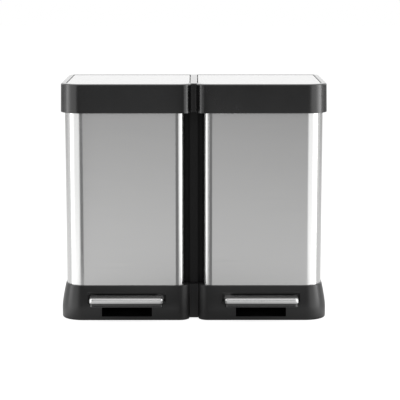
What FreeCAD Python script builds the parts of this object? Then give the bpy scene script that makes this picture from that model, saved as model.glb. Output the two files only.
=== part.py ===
"""Double pedal recycling bin: two steel shells on a common base, under a common collar.

Frame: origin on the floor below the middle of the whole object, X to the right, Y to the back, Z up.
Every handed piece is built on the right, at positive X, and mirrored to the left.
"""
import FreeCAD, Part
import math
import os
import Sketcher

V = FreeCAD.Vector

# Driving dimensions, in millimetres and degrees.
SIZES = [
    ("total_height", 530.0, "floor to the top of the lids"),
    ("collar_width", 590.0, "collar, side to side"),
    ("collar_depth", 286.0, "collar, front to back"),
    ("collar_height", 64.0, "collar's visible face"),
    ("collar_corner", 47.0, "plan radius of the collar's front outer corners"),
    ("rear_corner", 20.0, "plan radius of the collar's rear corners"),
    ("collar_wall", 2.5, "thickness of the collar's skirt"),
    ("collar_edge", 3.0, "rounding of the collar's top edge"),
    ("valley_width", 21.0, "base's front valley between the two lobes"),
    ("collar_valley_width", 13.0, "collar's front valley between the two lobes"),
    ("valley_set_back", 25.0, "valley floor behind the front face"),
    ("valley_mouth", 22.0, "plan radius where the front turns into the valley"),
    ("valley_foot", 2.5, "plan radius at the valley's floor"),
    ("side_rim", 12.0, "rim outside each lid"),
    ("centre_rim", 15.5, "rim between the two lids"),
    ("lid_gap", 1.5, "gap round each lid"),
    ("lid_corner", 35.0, "plan radius of the lid well's front corners"),
    ("well_rear_corner", 3.0, "plan radius of the lid well's rear corners"),
    ("well_depth", 20.0, "lid well, below the top"),
    ("ledge", 8.0, "ledge round the lid well's floor"),
    ("ledge_thickness", 3.0, "thickness of the ledge"),
    ("bucket_bay_rear", 62.0, "bucket opening's rear edge, in front of the collar's rear face"),
    ("shell_inset", 8.3, "steel face behind the collar's face"),
    ("shell_from_valley", 9.2, "steel face beside the base's valley"),
    ("shell_corner", 42.5, "plan radius of the steel's front outer corner"),
    ("shell_mouth", 26.0, "plan radius where the steel's front turns into the valley"),
    ("shell_sheet", 0.8, "steel sheet thickness"),
    ("shell_fit", 0.2, "gap each side of the steel where it is held"),
    ("shell_return", 38.0, "steel's run back along the valley"),
    ("locating_wall", 2.0, "wall inside the steel's upper edge"),
    ("base_height", 79.0, "top edge of the base"),
    ("base_proud", 2.5, "base's widest face in front of the collar's face"),
    ("base_wall", 8.0, "base wall at its widest place"),
    ("deck_height", 66.0, "top of the deck that the buckets stand on"),
    ("deck_thickness", 3.0, "thickness of the deck"),
    ("foot_height", 1.5, "rubber foot below the base"),
    ("flare_bottom_inset", 1.0, "base's lower edge inside its widest section"),
    ("flare_top_inset", 8.7, "base's upper edge inside its widest section"),
    ("foot_radius", 11.0, "rubber foot"),
    ("foot_inset", 42.0, "foot centre in from the base's sides"),
    ("cover_thickness", 3.0, "bottom cover"),
    ("loose_fit", 0.3, "gap between pieces that are set side by side"),
    ("pin_clearance", 0.05, "radial clearance of a turning or sliding fit"),
    ("overrun", 1.0, "how far a cut or a joined piece runs past a face"),
    ("column_groove", 8.0, "depth of the grooves beside the column's rib"),
    ("column_rib", 17.6, "width of the column's rib"),
    ("column_depth", 13.0, "front column, front to back"),
    ("column_wall", 2.5, "front column's wall"),
    ("rear_flange", 13.0, "rear column's flange behind each shell edge"),
    ("panel_thickness", 3.0, "divider panel"),
    ("pedal_centre", 150.0, "pedal's centre from the middle"),
    ("pedal_width", 164.0, "pedal, side to side"),
    ("pedal_projection", 38.0, "pedal's front ahead of the base's widest face"),
    ("pedal_top", 59.0, "height of the tread"),
    ("pedal_lip", 20.0, "height of the pedal's front"),
    ("tread_lip", 11.5, "steel's turned-down edge, above the core's visible front"),
    ("pedal_corner", 9.0, "plan radius of the pedal's front corners"),
    ("pedal_edge", 5.0, "rounding of the pedal's top edges"),
    ("pedal_sheet", 1.2, "pedal's steel cover"),
    ("pedal_gap", 3.0, "pedal's rear edge ahead of the base"),
    ("slot_width", 112.0, "slot for the lever in the base's front"),
    ("slot_low", 10.0, "slot's lower edge above the floor"),
    ("slot_high", 57.5, "slot's upper edge above the floor"),
    ("recess_margin", 5.5, "recess beyond each end of the pedal"),
    ("recess_above", 6.0, "recess above the tread"),
    ("recess_wall", 3.0, "base wall left behind the recess"),
    ("tongue_width", 100.0, "lever's tongue through the slot"),
    ("tongue_thickness", 8.0, "lever's tongue"),
    ("tongue_drop", 5.0, "tongue's top below the tread"),
    ("lever_width", 24.0, "lever's arm"),
    ("pivot_ahead", 34.0, "lever pivot in front of the body's middle"),
    ("pivot_height", 42.0, "lever pivot above the floor"),
    ("pivot_boss", 9.0, "radius of the lever's boss"),
    ("pivot_lug", 7.0, "thickness of the base's lugs beside the lever"),
    ("lever_tip", 5.0, "radius of the lever's rear tip"),
    ("pin_radius", 3.0, "pivot pins and lift rods"),
    ("lift_travel", 24.0, "lift rod's travel"),
    ("lid_opening", 80.0, "lid's full opening, degrees"),
    ("lid_depth", 8.0, "lid's rolled steel edge"),
    ("lid_skin", 0.8, "lid's steel sheet"),
    ("lid_edge", 1.6, "rounding of the lid's edge"),
    ("lid_thickness", 14.0, "lid, with its black frame"),
    ("lid_plate", 2.5, "lid frame's plate"),
    ("lid_wall", 2.0, "lid frame's rim"),
    ("hinge_drop", 8.0, "hinge axis below the top"),
    ("hinge_swing", 0.7, "gap behind the lid's rear edge as it turns"),
    ("cam_reach", 26.0, "cam's lowest point below the hinge axis"),
    ("cam_width", 12.0, "cam's width"),
    ("cam_nose", 3.0, "cam's front face ahead of the rod's axis"),
    ("cam_chamfer", 4.0, "height of the slope below the cam's front face"),
    ("cam_heel", 1.0, "cam's rear edge ahead of the hinge axis"),
    ("cam_slot_margin", 2.5, "cam slot beyond the cam, each side"),
    ("hinge_pin_radius", 2.5, "lid's hinge pins"),
    ("hinge_pin_in_rim", 6.0, "hinge pin's length in the collar"),
    ("hinge_pin_in_lid", 14.0, "hinge pin's length in the lid"),
    ("damper_radius", 4.6, "rotary damper"),
    ("damper_length", 38.0, "rotary damper"),
    ("liner_thickness", 1.5, "lid's inner liner"),
    ("bumper_radius", 3.2, "rubber bumper under the lid"),
    ("ring_thickness", 2.5, "bag ring"),
    ("bucket_margin", 7.0, "bucket's wall inside its opening in the collar"),
    ("bucket_wall", 2.0, "bucket's wall and floor"),
    ("bucket_rim", 3.5, "bucket's rim beyond its wall"),
    ("bucket_rim_height", 4.0, "bucket's rim"),
    ("bucket_below_ledge", 4.0, "bucket's top below the collar's ledge"),
    ("bay_corner", 28.0, "plan radius of the bucket opening's corners"),
    ("bucket_corner", 20.0, "plan radius of the bucket's corners"),
    ("grip_width", 90.0, "finger grip in the bucket's side"),
    ("grip_height", 25.0, "finger grip"),
    ("grip_below_rim", 10.0, "finger grip below the bucket's rim"),
    ("channel_side", 18.0, "rod channel's side"),
    ("channel_wall", 1.5, "rod channel's wall"),
    ("channel_below_pad", 33.7, "rod channel's upper end below the rod's top pad"),
    ("guide_height", 8.0, "rod guide"),
    ("guide_gap", 5.0, "lower rod guide above the foot's highest place"),
    ("rod_gap", 1.0, "gap round the rod's foot in the deck"),
    ("rod_pad_radius", 5.5, "pads at the rod's ends"),
    ("rod_pad_height", 9.0, "pads at the rod's ends"),
    ("screw_radius", 2.0, "screw's shank"),
    ("screw_head", 4.0, "screw head's radius"),
    ("screw_head_height", 2.4, "screw head"),
    ("screw_grip", 12.0, "screw's length in its boss"),
    ("boss_radius", 6.0, "screw boss below the deck"),
    ("rivet_head", 4.5, "pedal rivet's head"),
    ("rivet_head_height", 1.6, "pedal rivet's head"),
]

# Base flare between its lower and upper edges: height above the floor, and how far the section
# lies inside the widest one.
BASE_FLARE = [
    ("heel", 4.0, 0.0),
    ("waist", 24.0, 0.0),
    ("middle", 40.0, 1.4),
    ("shoulder", 60.0, 4.7),
]

# Where the liner's ribs stand, as shares of the bucket opening's width.
LINER_RIBS = (0.2, 0.5, 0.8)

# Points that the cam's curve passes through, after the first.
CAM_STEPS = 8

doc = FreeCAD.newDocument("double_bin")
sheet = doc.addObject("Spreadsheet::Sheet", "Sizes")


class Size:
    """A length as a formula on the sheet, with the number that it has now."""

    def __init__(self, text, value):
        self.text = text
        self.value = value

    def __add__(self, other):
        return combine("+", self, other, lambda a, b: a + b)

    def __radd__(self, other):
        return combine("+", other, self, lambda a, b: a + b)

    def __sub__(self, other):
        return combine("-", self, other, lambda a, b: a - b)

    def __rsub__(self, other):
        return combine("-", other, self, lambda a, b: a - b)

    def __mul__(self, other):
        return combine("*", self, other, lambda a, b: a * b)

    def __truediv__(self, other):
        return combine("/", self, other, lambda a, b: a / b)

    def __neg__(self):
        return combine("-", 0, self, lambda a, b: a - b)


def as_size(value):
    """A plain number as a Size."""
    return value if isinstance(value, Size) else Size(repr(float(value)), float(value))


def combine(sign, first, second, result):
    """Two lengths joined by an operator, as one formula."""
    first = as_size(first)
    second = as_size(second)
    return Size(f"({first.text} {sign} {second.text})", result(first.value, second.value))


def fill_sheet():
    """Write the driving dimensions to the sheet, and return them by name."""
    sizes = {}
    rows = list(SIZES)
    for name, height, inset in BASE_FLARE:
        rows.append((f"flare_{name}_height", height, "base section's height"))
        rows.append((f"flare_{name}_inset", inset, "base section inside the widest one"))
    for row, (name, value, note) in enumerate(rows, start=1):
        sheet.set(f"A{row}", name)
        sheet.set(f"B{row}", repr(value))
        sheet.set(f"C{row}", note)
        sheet.setAlias(f"B{row}", name)
        sizes[name] = Size(f"Sizes.{name}", value)
    doc.recompute()
    return sizes


S = fill_sheet()


# ---- drawing and building helpers ---------------------------------------------------------------

def bind(thing, target, size):
    """Tie a property to the sheet."""
    size = as_size(size)
    thing.setExpression(target, size.text)


def new_sketch(body, name, plane, offset):
    """A sketch on one of the body's own origin planes, moved along its normal."""
    support = [f for f in body.Origin.OriginFeatures if f.Role == plane][0]
    sketch = body.newObject("Sketcher::SketchObject", name)
    sketch.AttachmentSupport = [(support, "")]
    sketch.MapMode = "FlatFace"
    bind(sketch, ".AttachmentOffset.Base.z", offset)
    return sketch


def fix(sketch, kind, where, size):
    """A driving dimension on a sketch, tied to the sheet."""
    index = sketch.addConstraint(Sketcher.Constraint(kind, *where, size.value))
    bind(sketch, f"Constraints[{index}]", size)


def draw_polygon(sketch, points):
    """A closed polygon with each vertex at its own place."""
    points = [(as_size(x), as_size(y)) for x, y in points]
    count = len(points)
    for index, (x, y) in enumerate(points):
        x_next, y_next = points[(index + 1) % count]
        start = V(x.value, y.value, 0)
        end = V(x_next.value, y_next.value, 0)
        sketch.addGeometry(Part.LineSegment(start, end), False)
    for index, (x, y) in enumerate(points):
        sketch.addConstraint(Sketcher.Constraint("Coincident", index, 2, (index + 1) % count, 1))
        fix(sketch, "DistanceX", (-1, 1, index, 1), x)
        fix(sketch, "DistanceY", (-1, 1, index, 1), y)


def draw_outline(sketch, corners):
    """A closed outline of upright and level lines, with a radius (or 0) at each corner."""
    corners = [(as_size(x), as_size(y), as_size(r)) for x, y, r in corners]
    count = len(corners)
    spots = [V(x.value, y.value, 0) for x, y, r in corners]
    ways = [(spots[(i + 1) % count] - spots[i]).normalize() for i in range(count)]
    lines = []
    for i in range(count):
        start = spots[i] + ways[i] * corners[i][2].value
        end = spots[(i + 1) % count] - ways[i] * corners[(i + 1) % count][2].value
        lines.append(sketch.addGeometry(Part.LineSegment(start, end), False))
        upright = abs(ways[i].x) < 0.5
        sketch.addConstraint(Sketcher.Constraint("Vertical" if upright else "Horizontal", lines[i]))
        if upright:
            fix(sketch, "DistanceX", (-1, 1, lines[i], 1), corners[i][0])
        else:
            fix(sketch, "DistanceY", (-1, 1, lines[i], 1), corners[i][1])
    for i in range(count):
        before = lines[i - 1]
        after = lines[i]
        radius = corners[i][2]
        if radius.value == 0:
            sketch.addConstraint(Sketcher.Constraint("Coincident", before, 2, after, 1))
            continue
        way_in = ways[i - 1]
        way_out = ways[i]
        left_turn = way_in.cross(way_out).z > 0
        centre = spots[i] - way_in * radius.value + way_out * radius.value
        entry = spots[i] - way_in * radius.value - centre
        leave = spots[i] + way_out * radius.value - centre
        first, last = (entry, leave) if left_turn else (leave, entry)
        start_angle = math.atan2(first.y, first.x)
        circle = Part.Circle(centre, V(0, 0, 1), radius.value)
        arc = Part.ArcOfCircle(circle, start_angle, start_angle + math.pi / 2)
        index = sketch.addGeometry(arc, False)
        entry_end, leave_end = (1, 2) if left_turn else (2, 1)
        sketch.addConstraint(Sketcher.Constraint("Tangent", before, 2, index, entry_end))
        sketch.addConstraint(Sketcher.Constraint("Tangent", index, leave_end, after, 1))
        fix(sketch, "Radius", (index,), radius)


def new_body(name):
    """An empty body."""
    return doc.addObject("PartDesign::Body", name)


def extrude(body, kind, sketch, name, length):
    """Pad or pocket a sketch; a pad runs along the sketch's normal and a pocket against it."""
    feature = body.newObject(kind, name)
    feature.Profile = sketch
    bind(feature, "Length", length)
    sketch.Visibility = False
    body.Tip = feature
    return feature


def layer(body, name, corners, low, high):
    """Add the outline between two heights."""
    sketch = new_sketch(body, f"{name}_outline", "XY_Plane", low)
    draw_outline(sketch, corners)
    return extrude(body, "PartDesign::Pad", sketch, name, high - low)


def hollow(body, name, outlines, low, high):
    """Cut the outlines away between two heights; an outline inside another is left standing."""
    sketch = new_sketch(body, f"{name}_outline", "XY_Plane", high)
    for corners in outlines:
        draw_outline(sketch, corners)
    return extrude(body, "PartDesign::Pocket", sketch, name, high - low)


def round_edges(body, name, radius, wanted):
    """Round those edges of the body for which wanted(edge) is true."""
    doc.recompute()
    before = body.Tip
    names = [f"Edge{index}" for index, edge in enumerate(before.Shape.Edges, start=1) if wanted(edge)]
    feature = body.newObject("PartDesign::Fillet", name)
    feature.Base = (before, names)
    bind(feature, "Radius", radius)
    body.Tip = feature
    return feature


def level_at(height):
    """A test for edges that lie wholly at one height."""
    return lambda edge: abs(edge.BoundBox.ZMin - height.value) < 0.01 and edge.BoundBox.ZLength < 0.01


def box(name, x_span, y_span, z_span):
    """A plain box between the given places."""
    solid = doc.addObject("Part::Box", name)
    spans = (("Length", "x", x_span), ("Width", "y", y_span), ("Height", "z", z_span))
    for side, axis, (low, high) in spans:
        bind(solid, side, as_size(high) - low)
        bind(solid, f".Placement.Base.{axis}", low)
    return solid


TURNS = {
    "x": FreeCAD.Rotation(V(0, 1, 0), 90),
    "y": FreeCAD.Rotation(V(1, 0, 0), -90),
    "z": FreeCAD.Rotation(),
}


def cylinder(name, axis, radius, length, start):
    """A cylinder that runs from its start along one axis."""
    solid = doc.addObject("Part::Cylinder", name)
    solid.Placement = FreeCAD.Placement(V(0, 0, 0), TURNS[axis])
    bind(solid, "Radius", radius)
    bind(solid, "Height", length)
    for letter, place in zip("xyz", start):
        bind(solid, f".Placement.Base.{letter}", place)
    return solid


def fuse(name, *parts):
    """Several solids as one."""
    whole = doc.addObject("Part::MultiFuse", name)
    whole.Shapes = list(parts)
    whole.Refine = True
    return whole


def cut(name, base, *tools):
    """A solid with others taken away."""
    result = doc.addObject("Part::Cut", name)
    result.Base = base
    result.Tool = tools[0] if len(tools) == 1 else fuse(f"{name}_tools", *tools)
    result.Refine = True
    return result


def group(name, *parts):
    """Separate solids that share one node."""
    whole = doc.addObject("Part::Compound", name)
    whole.Links = list(parts)
    return whole


def mirror(name, thing):
    """The same piece on the other side of the middle."""
    other = doc.addObject("Part::Mirroring", name)
    other.Source = thing
    other.Base = V(0, 0, 0)
    other.Normal = V(1, 0, 0)
    return other


NODES = []


def keep(label, thing):
    """Make a thing one of the object's pieces."""
    thing.Label = label
    NODES.append(thing)
    return thing


def keep_pair(label, right):
    """Keep a right-hand piece and its mirror image."""
    keep(f"right_{label}", right)
    keep(f"left_{label}", mirror(f"left_{label}", right))


# ---- places that several pieces share -----------------------------------------------------------

OVERRUN = S["overrun"]
TOP = S["total_height"]
COLLAR_LOW = TOP - S["collar_height"]
BODY_Y = S["pedal_projection"] / 2
COLLAR_FRONT = BODY_Y - S["collar_depth"] / 2
COLLAR_REAR = BODY_Y + S["collar_depth"] / 2
COLLAR_HALF = S["collar_width"] / 2
VALLEY_HALF = S["valley_width"] / 2

LEDGE_TOP = TOP - S["well_depth"]
LEDGE_LOW = LEDGE_TOP - S["ledge_thickness"]

SHELL_INNER = VALLEY_HALF + S["shell_from_valley"]
SHELL_OUTER = COLLAR_HALF - S["shell_inset"]
SHELL_FRONT = COLLAR_FRONT + S["shell_inset"]
SHELL_REAR = COLLAR_REAR - S["shell_inset"]
SHELL_LOW = S["deck_height"] + S["loose_fit"]
SHELL_HIGH = LEDGE_LOW - S["loose_fit"]

WELL_INNER = S["centre_rim"] / 2
WELL_OUTER = COLLAR_HALF - S["side_rim"]
WELL_FRONT = COLLAR_FRONT + S["side_rim"]
WELL_REAR = COLLAR_REAR - S["side_rim"]

HINGE_Y = WELL_REAR - S["hinge_drop"] - S["hinge_swing"]
HINGE_Z = TOP - S["hinge_drop"]

BAY_INNER = SHELL_INNER + S["shell_sheet"] + S["shell_fit"] + S["locating_wall"]
BAY_OUTER = WELL_OUTER - S["ledge"]
BAY_FRONT = WELL_FRONT + S["ledge"]
BAY_REAR = COLLAR_REAR - S["bucket_bay_rear"]

BASE_FRONT = COLLAR_FRONT - S["base_proud"]
BASE_REAR = COLLAR_REAR + S["base_proud"]
BASE_HALF = COLLAR_HALF + S["base_proud"]
DECK_LOW = S["deck_height"] - S["deck_thickness"]

PEDAL_X = S["pedal_centre"]
PIVOT_Y = BODY_Y - S["pivot_ahead"]
PIVOT_Z = S["pivot_height"]

# The cam is the involute of a circle about the hinge axis, so the rod's travel is this radius
# times the lid's angle, and the rod stands this far in front of the axis.
CAM_CIRCLE = S["lift_travel"] / (S["lid_opening"] * (math.pi / 180))
ROD_Y = HINGE_Y - CAM_CIRCLE
TIP_Z = PIVOT_Z - S["lift_travel"] / 2
FOOT_LOW = TIP_Z + S["lever_tip"] + S["loose_fit"]
PAD_TOP = HINGE_Z - S["cam_reach"] - S["loose_fit"]

CAVITY_HALF = BASE_HALF - S["base_wall"]
CAVITY_FRONT = BASE_FRONT + S["base_wall"]
CAVITY_REAR = BASE_REAR - S["base_wall"]
CAVITY_CORNER = S["collar_corner"] + S["base_proud"] - S["base_wall"]
CAVITY_REAR_CORNER = S["rear_corner"] + S["base_proud"] - S["base_wall"]


def cavity_plan(inset):
    """The base's underside cavity, drawn in by an inset."""
    half = CAVITY_HALF - inset
    front = CAVITY_FRONT + inset
    rear = CAVITY_REAR - inset
    valley = VALLEY_HALF + S["base_wall"] + S["valley_mouth"] / 2 + inset
    floor = COLLAR_FRONT + S["valley_set_back"] + S["base_wall"] + inset
    corner = CAVITY_CORNER - inset
    rear_corner = CAVITY_REAR_CORNER - inset
    return [
        (-half, front, corner), (-valley, front, 0), (-valley, floor, 0),
        (valley, floor, 0), (valley, front, 0), (half, front, corner),
        (half, rear, rear_corner), (-half, rear, rear_corner),
    ]


def lobed(inset, valley_half, valley_inset):
    """The two-lobed plan, drawn in by an inset at the sides and by another in the valley."""
    half = COLLAR_HALF - inset
    front = COLLAR_FRONT + inset
    rear = COLLAR_REAR - inset
    valley = valley_half + valley_inset
    floor = COLLAR_FRONT + S["valley_set_back"] + valley_inset
    corner = S["collar_corner"] - inset
    rear_corner = S["rear_corner"] - inset
    mouth = S["valley_mouth"] - valley_inset
    foot = S["valley_foot"]
    return [
        (-half, front, corner), (-valley, front, mouth), (-valley, floor, foot),
        (valley, floor, foot), (valley, front, mouth), (half, front, corner),
        (half, rear, rear_corner), (-half, rear, rear_corner),
    ]


def rectangle(inner, outer, front, rear, radii):
    """A rectangle with radii at front inner, front outer, rear outer and rear inner."""
    return [
        (inner, front, radii[0]), (outer, front, radii[1]),
        (outer, rear, radii[2]), (inner, rear, radii[3]),
    ]


def mirrored(corners):
    """An outline on the other side of the middle."""
    return [(-as_size(x), y, r) for x, y, r in corners]


def shell_plan(inset):
    """One steel shell's outline, drawn in by an inset."""
    mouth = S["shell_mouth"] - inset
    corner = S["shell_corner"] - inset
    rear_corner = S["rear_corner"] - S["shell_inset"] - inset
    return rectangle(
        SHELL_INNER + inset, SHELL_OUTER - inset, SHELL_FRONT + inset, SHELL_REAR - inset,
        (mouth, corner, rear_corner, 0))


def well_plan(inset):
    """One lid well's outline, drawn in by an inset."""
    front = S["lid_corner"] - inset
    rear = S["well_rear_corner"]
    return rectangle(
        WELL_INNER + inset, WELL_OUTER - inset, WELL_FRONT + inset, WELL_REAR - inset,
        (front, front, rear, rear))


def lid_plan(inset):
    """One lid's outline up to its hinge axis, drawn in by an inset at the front and sides."""
    gap = S["lid_gap"] + inset
    front = S["lid_corner"] - gap
    return rectangle(WELL_INNER + gap, WELL_OUTER - gap, WELL_FRONT + gap, HINGE_Y, (front, front, 0, 0))


def bay_plan(inset):
    """One bucket opening's outline, drawn in by an inset."""
    corner = S["bay_corner"] - inset
    return rectangle(
        BAY_INNER + inset, BAY_OUTER - inset, BAY_FRONT + inset, BAY_REAR - inset,
        (corner, corner, corner, corner))


# ---- base ---------------------------------------------------------------------------------------

def base_section(body, name, height, inset):
    """One horizontal section of the flared base."""
    sketch = new_sketch(body, f"section_{name}", "XY_Plane", height)
    draw_outline(sketch, lobed(inset - S["base_proud"], VALLEY_HALF, as_size(0)))
    return sketch


def screw_places():
    """Where the bottom cover is screwed to the base."""
    side = CAVITY_HALF - S["foot_inset"]
    inner = VALLEY_HALF + S["foot_inset"]
    rows = (CAVITY_FRONT + S["foot_inset"], CAVITY_REAR - S["foot_inset"])
    return [(x, y) for y in rows for x in (-side, -inner, inner, side)]


def build_base():
    """Flared moulding: closed deck, open underside, slots and recesses for the pedals."""
    body = new_body("base_moulding")
    sections = [base_section(body, "bottom", S["foot_height"], S["flare_bottom_inset"])]
    for name, height, inset in BASE_FLARE:
        sections.append(base_section(body, name, S[f"flare_{name}_height"], S[f"flare_{name}_inset"]))
    sections.append(base_section(body, "top", S["base_height"], S["flare_top_inset"]))
    loft = body.newObject("PartDesign::AdditiveLoft", "flare")
    loft.Profile = sections[0]
    loft.Sections = sections[1:]
    loft.Ruled = True
    body.Tip = loft
    hollow(body, "underside", [cavity_plan(as_size(0))], as_size(0), DECK_LOW)
    seat = shell_plan(-S["shell_fit"])
    hollow(body, "shell_seats", [seat, mirrored(seat)], S["deck_height"], S["base_height"] + OVERRUN)

    additions = [body]
    removals = []
    for side, sign in (("right", 1), ("left", -1)):
        centre = PEDAL_X * sign
        arm = S["lever_width"] / 2 + S["loose_fit"]
        for place, low in (("outer", arm), ("inner", -arm - S["pivot_lug"])):
            additions.append(box(
                f"{side}_{place}_lug",
                (centre + low, centre + low + S["pivot_lug"]),
                (PIVOT_Y - S["pivot_boss"], PIVOT_Y + S["pivot_boss"]),
                (PIVOT_Z - S["pivot_boss"], DECK_LOW + OVERRUN)))
        reach = S["lever_width"] / 2 + S["pivot_lug"] + OVERRUN
        removals.append(cylinder(
            f"{side}_lug_bore", "x", S["pin_radius"], reach * 2, (centre - reach, PIVOT_Y, PIVOT_Z)))
        removals.append(box(
            f"{side}_lever_slot",
            (centre - S["slot_width"] / 2, centre + S["slot_width"] / 2),
            (BASE_FRONT - OVERRUN, CAVITY_FRONT + OVERRUN),
            (S["slot_low"], S["slot_high"])))
        half = S["pedal_width"] / 2 + S["recess_margin"]
        removals.append(box(
            f"{side}_pedal_recess",
            (centre - half, centre + half),
            (BASE_FRONT - OVERRUN, CAVITY_FRONT - S["recess_wall"]),
            (S["pedal_top"] - S["pedal_lip"], S["pedal_top"] + S["recess_above"])))
        removals.append(cylinder(
            f"{side}_rod_opening", "z", S["rod_pad_radius"] + S["rod_gap"],
            S["deck_thickness"] + OVERRUN * 2, (centre, ROD_Y, DECK_LOW - OVERRUN)))
    cover_top = S["foot_height"] + S["cover_thickness"]
    for index, (x, y) in enumerate(screw_places()):
        additions.append(cylinder(
            f"cover_boss_{index}", "z", S["boss_radius"], DECK_LOW + OVERRUN - cover_top,
            (x, y, cover_top)))
        removals.append(cylinder(
            f"cover_boss_bore_{index}", "z", S["screw_radius"], S["screw_grip"] + OVERRUN,
            (x, y, cover_top - OVERRUN)))
    keep("base", cut("base_cut", fuse("base_whole", *additions), *removals))


def build_bottom_cover():
    """Plate that closes the base's underside, with its screws and the rubber feet."""
    low = S["foot_height"]
    high = low + S["cover_thickness"]
    gap = S["loose_fit"]
    body = new_body("bottom_plate")
    layer(body, "plate", cavity_plan(gap), low, high)
    holes = []
    screws = []
    for index, (x, y) in enumerate(screw_places()):
        holes.append(cylinder(
            f"cover_hole_{index}", "z", S["screw_radius"], S["cover_thickness"] + OVERRUN * 2,
            (x, y, low - OVERRUN)))
        sink = S["screw_head_height"]
        holes.append(cylinder(
            f"cover_sink_{index}", "z", S["screw_head"] + gap, sink, (x, y, low)))
        shank = cylinder(
            f"screw_shank_{index}", "z", S["screw_radius"] - S["pin_clearance"],
            S["cover_thickness"] + S["screw_grip"] - gap, (x, y, low))
        head = cylinder(
            f"screw_head_{index}", "z", S["screw_head"], sink - S["pin_clearance"], (x, y, low))
        screws.append(fuse(f"screw_{index}", shank, head))
    keep("bottom_cover", cut("cover_cut", body, *holes))
    keep("base_screws", group("base_screw_set", *screws))
    side = CAVITY_HALF - S["foot_inset"] / 2
    feet = []
    for index, (x, y) in enumerate((x, y) for x in (-side, side) for y in (
            CAVITY_FRONT + S["foot_inset"], CAVITY_REAR - S["foot_inset"])):
        feet.append(cylinder(f"foot_{index}", "z", S["foot_radius"], low, (x, y, 0)))
    keep("rubber_feet", group("foot_set", *feet))


# ---- collar and columns -------------------------------------------------------------------------

def build_collar():
    """Black moulding over both shells, with a well for each lid and an opening for each bucket."""
    body = new_body("collar_moulding")
    layer(body, "block", lobed(as_size(0), S["collar_valley_width"] / 2, as_size(0)), COLLAR_LOW, TOP)
    round_edges(body, "top_edge", S["collar_edge"], level_at(TOP))
    outside = shell_plan(S["shell_sheet"] + S["shell_fit"])
    inside = shell_plan(S["shell_sheet"] + S["shell_fit"] + S["locating_wall"])
    skirt = lobed(S["collar_wall"], S["collar_valley_width"] / 2, S["collar_wall"])
    hollow(body, "skirt_channel", [skirt, outside, mirrored(outside)], COLLAR_LOW, LEDGE_LOW)
    hollow(body, "shell_rings", [inside, mirrored(inside)], COLLAR_LOW, LEDGE_LOW)
    hollow(body, "lid_wells", [well_plan(0), mirrored(well_plan(0))], LEDGE_TOP, TOP)
    hollow(body, "bucket_bays", [bay_plan(0), mirrored(bay_plan(0))], LEDGE_LOW, LEDGE_TOP)
    removals = []
    half = S["cam_width"] / 2 + S["cam_slot_margin"]
    bore = S["hinge_pin_radius"] + S["pin_clearance"]
    for side, sign in (("right", 1), ("left", -1)):
        centre = PEDAL_X * sign
        removals.append(box(
            f"{side}_cam_slot", (centre - half, centre + half),
            (HINGE_Y - S["cam_reach"] - S["cam_slot_margin"] * 3, HINGE_Y + S["cam_slot_margin"]),
            (LEDGE_LOW - OVERRUN, LEDGE_TOP + OVERRUN)))
        reach = S["hinge_pin_in_rim"] + S["loose_fit"]
        outer = WELL_OUTER if sign > 0 else -WELL_OUTER - reach
        inner = WELL_INNER - reach if sign > 0 else -WELL_INNER
        for place, x in (("outer", outer), ("inner", inner)):
            removals.append(cylinder(
                f"{side}_{place}_hinge_bore", "x", bore, reach, (x, HINGE_Y, HINGE_Z)))
    keep("top_collar", cut("collar_cut", body, *removals))


def build_columns():
    """Front column in the valley, rear column between the shells, and the panel between the bays."""
    half = SHELL_INNER - S["shell_fit"]
    front = COLLAR_FRONT + S["valley_set_back"] + S["shell_inset"]
    rear = front + S["column_depth"]
    rib = S["column_rib"] / 2
    groove = front + S["column_groove"]
    wall = S["column_wall"]
    plan = [
        (-half, groove, 0), (-rib, groove, 0), (-rib, front, 0), (rib, front, 0),
        (rib, groove, 0), (half, groove, 0), (half, rear, 0), (rib - wall, rear, 0),
        (rib - wall, front + wall, 0), (wall - rib, front + wall, 0),
        (wall - rib, rear, 0), (-half, rear, 0),
    ]
    body = new_body("front_channel")
    layer(body, "channel", plan, S["base_height"], SHELL_HIGH)
    keep("front_column", body)

    face = SHELL_REAR
    behind = SHELL_REAR - S["shell_sheet"] - S["shell_fit"]
    inner = behind - S["column_wall"]
    wing = half + S["rear_flange"]
    strip = new_body("rear_strip")
    layer(strip, "strip", [(-half, inner, 0), (half, inner, 0), (half, face, 0), (-half, face, 0)],
          S["base_height"], SHELL_HIGH)
    layer(strip, "wings", [(-wing, inner, 0), (wing, inner, 0), (wing, behind, 0), (-wing, behind, 0)],
          S["base_height"] + S["loose_fit"], COLLAR_LOW - S["loose_fit"])
    keep("rear_column", strip)

    keep("divider_panel", box(
        "divider", (-S["panel_thickness"] / 2, S["panel_thickness"] / 2),
        (rear, inner), (S["base_height"], SHELL_HIGH)))


# ---- one side -----------------------------------------------------------------------------------

def build_shell():
    """Folded steel: round the front, the side and the rear, open towards the other bin."""
    body = new_body("shell_sheet_body")
    layer(body, "outside", shell_plan(0), SHELL_LOW, SHELL_HIGH)
    hollow(body, "inside", [shell_plan(S["shell_sheet"])], SHELL_LOW, SHELL_HIGH)
    opening = box(
        "shell_opening", (SHELL_INNER - OVERRUN, SHELL_INNER + S["shell_sheet"] + OVERRUN),
        (SHELL_FRONT + S["shell_return"], SHELL_REAR - S["shell_sheet"]),
        (SHELL_LOW - OVERRUN, SHELL_HIGH + OVERRUN))
    keep_pair("steel_shell", cut("shell_cut", body, opening))


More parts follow.
